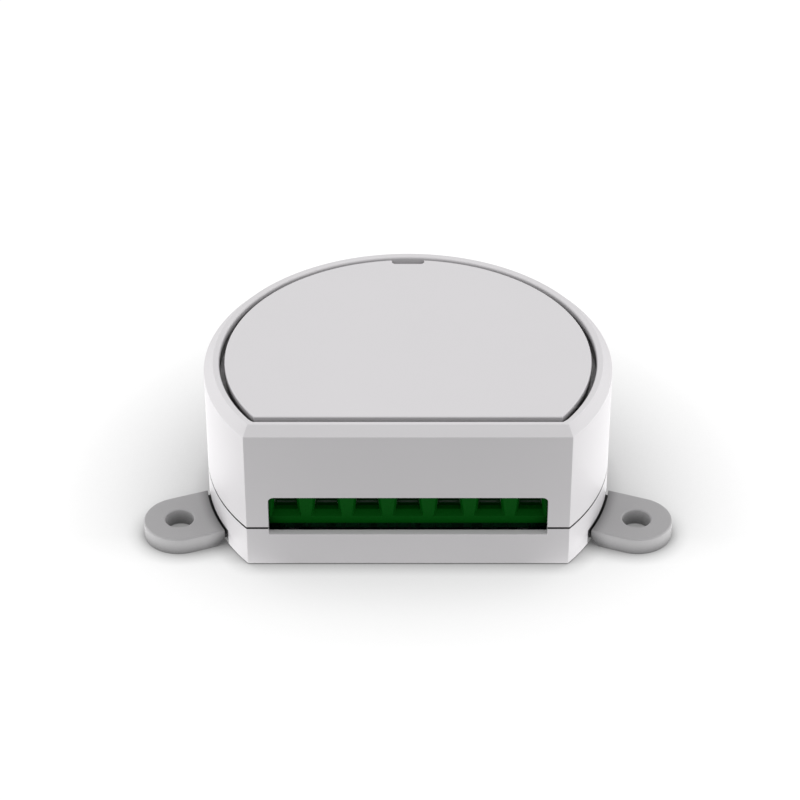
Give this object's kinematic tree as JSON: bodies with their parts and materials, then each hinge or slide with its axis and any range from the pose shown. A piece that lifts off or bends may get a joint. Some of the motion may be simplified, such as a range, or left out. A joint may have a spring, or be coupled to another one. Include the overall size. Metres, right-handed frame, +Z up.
{
  "type": "wireless dimmer module",
  "caption": "Pale grey D-shaped puck module with a flush lid, a slot in its flat front over a green terminal block, and two screw ears.",
  "frame": {"origin": "on the axis of the casing's round wall, at its flat underside", "axes": "+Z up through the lid, -Y out of the flat front with the wire slot, +X along the line through the two ears"},
  "size_m": [0.0658, 0.0411, 0.0203],
  "materials": {
    "casing": "fine-textured moulded plastic, pale grey",
    "terminal_green": "moulded plastic, green",
    "zinc_steel": "zinc-plated steel",
    "tinned_brass": "tinned brass",
    "circuit_board": "glass-fibre board, solder mask",
    "black_moulding": "moulded component body",
    "ferrite": "sintered ferrite",
    "copper_wire": "enamelled copper wire",
    "winding_tape": "polyester tape",
    "film_box": "filled plastic box",
    "ceramic": "coated ceramic",
    "aluminium": "bare aluminium",
    "thermal_rubber": "filled silicone pad",
    "button_white": "moulded plastic, white",
    "clear_plastic": "clear moulded plastic",
    "light_white": "light-emitting diode body"
  },
  "bodies": {
    "casing": {"upper_housing": "casing", "base_shell": "casing", "ear_left": "casing", "ear_right": "casing", "case_screws": "zinc_steel", "main_board": "circuit_board", "terminal_housing": "terminal_green", "contact_strips": "tinned_brass", "control_board": "circuit_board", "board_pillars": "black_moulding", "board_header": "black_moulding", "header_pins": "tinned_brass", "radio_board": "circuit_board", "radio_shield": "zinc_steel", "antenna": "ceramic", "control_chip": "black_moulding", "crystal": "zinc_steel", "pairing_switch": "black_moulding", "status_light": "light_white", "light_pipe": "clear_plastic", "bulk_capacitors": "aluminium", "choke_core": "ferrite", "choke_winding": "copper_wire", "transformer_core": "ferrite", "transformer_bobbin": "black_moulding", "transformer_winding": "winding_tape", "filter_capacitor": "film_box", "varistor": "ceramic", "mains_fuse": "black_moulding", "power_transistors": "black_moulding", "thermal_pad": "thermal_rubber", "heat_spreader": "aluminium", "bridge_rectifier": "black_moulding", "converter_chip": "black_moulding", "optocoupler": "black_moulding"},
    "lid": {"lid": "casing"},
    "pairing_button": {"pairing_button": "button_white", "switch_plunger": "button_white"},
    "terminal_screw_1": {"terminal_screw_1": "zinc_steel"},
    "wire_clamp_1": {"wire_clamp_1": "zinc_steel"},
    "terminal_screw_2": {"terminal_screw_2": "zinc_steel"},
    "wire_clamp_2": {"wire_clamp_2": "zinc_steel"},
    "terminal_screw_3": {"terminal_screw_3": "zinc_steel"},
    "wire_clamp_3": {"wire_clamp_3": "zinc_steel"},
    "terminal_screw_4": {"terminal_screw_4": "zinc_steel"},
    "wire_clamp_4": {"wire_clamp_4": "zinc_steel"},
    "terminal_screw_5": {"terminal_screw_5": "zinc_steel"},
    "wire_clamp_5": {"wire_clamp_5": "zinc_steel"},
    "terminal_screw_6": {"terminal_screw_6": "zinc_steel"},
    "wire_clamp_6": {"wire_clamp_6": "zinc_steel"},
    "terminal_screw_7": {"terminal_screw_7": "zinc_steel"},
    "wire_clamp_7": {"wire_clamp_7": "zinc_steel"}
  },
  "joints": [
    {"name": "lid_lift", "type": "slide", "parent": "casing", "child": "lid", "axis": [0, 0, 1], "range_m": [0, 0.02]},
    {"name": "pairing_button_press", "type": "slide", "parent": "casing", "child": "pairing_button", "axis": [0, 0, -1], "range_m": [0, 0.0003], "stiffness_N_per_m": 1500},
    {"name": "terminal_screw_1_turn", "type": "hinge", "parent": "casing", "child": "terminal_screw_1", "pos_m": [-0.015, -0.01009, 0.0144], "axis": [0, 0, -1], "range_deg": [0, 2080]},
    {"name": "wire_clamp_1_rise", "type": "slide", "parent": "casing", "child": "wire_clamp_1", "axis": [0, 0, 1], "range_m": [0, 0.0026]},
    {"name": "terminal_screw_2_turn", "type": "hinge", "parent": "casing", "child": "terminal_screw_2", "pos_m": [-0.01, -0.01009, 0.0144], "axis": [0, 0, -1], "range_deg": [0, 2080]},
    {"name": "wire_clamp_2_rise", "type": "slide", "parent": "casing", "child": "wire_clamp_2", "axis": [0, 0, 1], "range_m": [0, 0.0026]},
    {"name": "terminal_screw_3_turn", "type": "hinge", "parent": "casing", "child": "terminal_screw_3", "pos_m": [-0.005, -0.01009, 0.0144], "axis": [0, 0, -1], "range_deg": [0, 2080]},
    {"name": "wire_clamp_3_rise", "type": "slide", "parent": "casing", "child": "wire_clamp_3", "axis": [0, 0, 1], "range_m": [0, 0.0026]},
    {"name": "terminal_screw_4_turn", "type": "hinge", "parent": "casing", "child": "terminal_screw_4", "pos_m": [0, -0.01009, 0.0144], "axis": [0, 0, -1], "range_deg": [0, 2080]},
    {"name": "wire_clamp_4_rise", "type": "slide", "parent": "casing", "child": "wire_clamp_4", "axis": [0, 0, 1], "range_m": [0, 0.0026]},
    {"name": "terminal_screw_5_turn", "type": "hinge", "parent": "casing", "child": "terminal_screw_5", "pos_m": [0.005, -0.01009, 0.0144], "axis": [0, 0, -1], "range_deg": [0, 2080]},
    {"name": "wire_clamp_5_rise", "type": "slide", "parent": "casing", "child": "wire_clamp_5", "axis": [0, 0, 1], "range_m": [0, 0.0026]},
    {"name": "terminal_screw_6_turn", "type": "hinge", "parent": "casing", "child": "terminal_screw_6", "pos_m": [0.01, -0.01009, 0.0144], "axis": [0, 0, -1], "range_deg": [0, 2080]},
    {"name": "wire_clamp_6_rise", "type": "slide", "parent": "casing", "child": "wire_clamp_6", "axis": [0, 0, 1], "range_m": [0, 0.0026]},
    {"name": "terminal_screw_7_turn", "type": "hinge", "parent": "casing", "child": "terminal_screw_7", "pos_m": [0.015, -0.01009, 0.0144], "axis": [0, 0, -1], "range_deg": [0, 2080]},
    {"name": "wire_clamp_7_rise", "type": "slide", "parent": "casing", "child": "wire_clamp_7", "axis": [0, 0, 1], "range_m": [0, 0.0026]}
  ],
  "couplings": [
    {"joint": "terminal_screw_1_turn", "follows": "wire_clamp_1_rise", "rad_per_m": 13963},
    {"joint": "terminal_screw_2_turn", "follows": "wire_clamp_2_rise", "rad_per_m": 13963},
    {"joint": "terminal_screw_3_turn", "follows": "wire_clamp_3_rise", "rad_per_m": 13963},
    {"joint": "terminal_screw_4_turn", "follows": "wire_clamp_4_rise", "rad_per_m": 13963},
    {"joint": "terminal_screw_5_turn", "follows": "wire_clamp_5_rise", "rad_per_m": 13963},
    {"joint": "terminal_screw_6_turn", "follows": "wire_clamp_6_rise", "rad_per_m": 13963},
    {"joint": "terminal_screw_7_turn", "follows": "wire_clamp_7_rise", "rad_per_m": 13963}
  ]
}
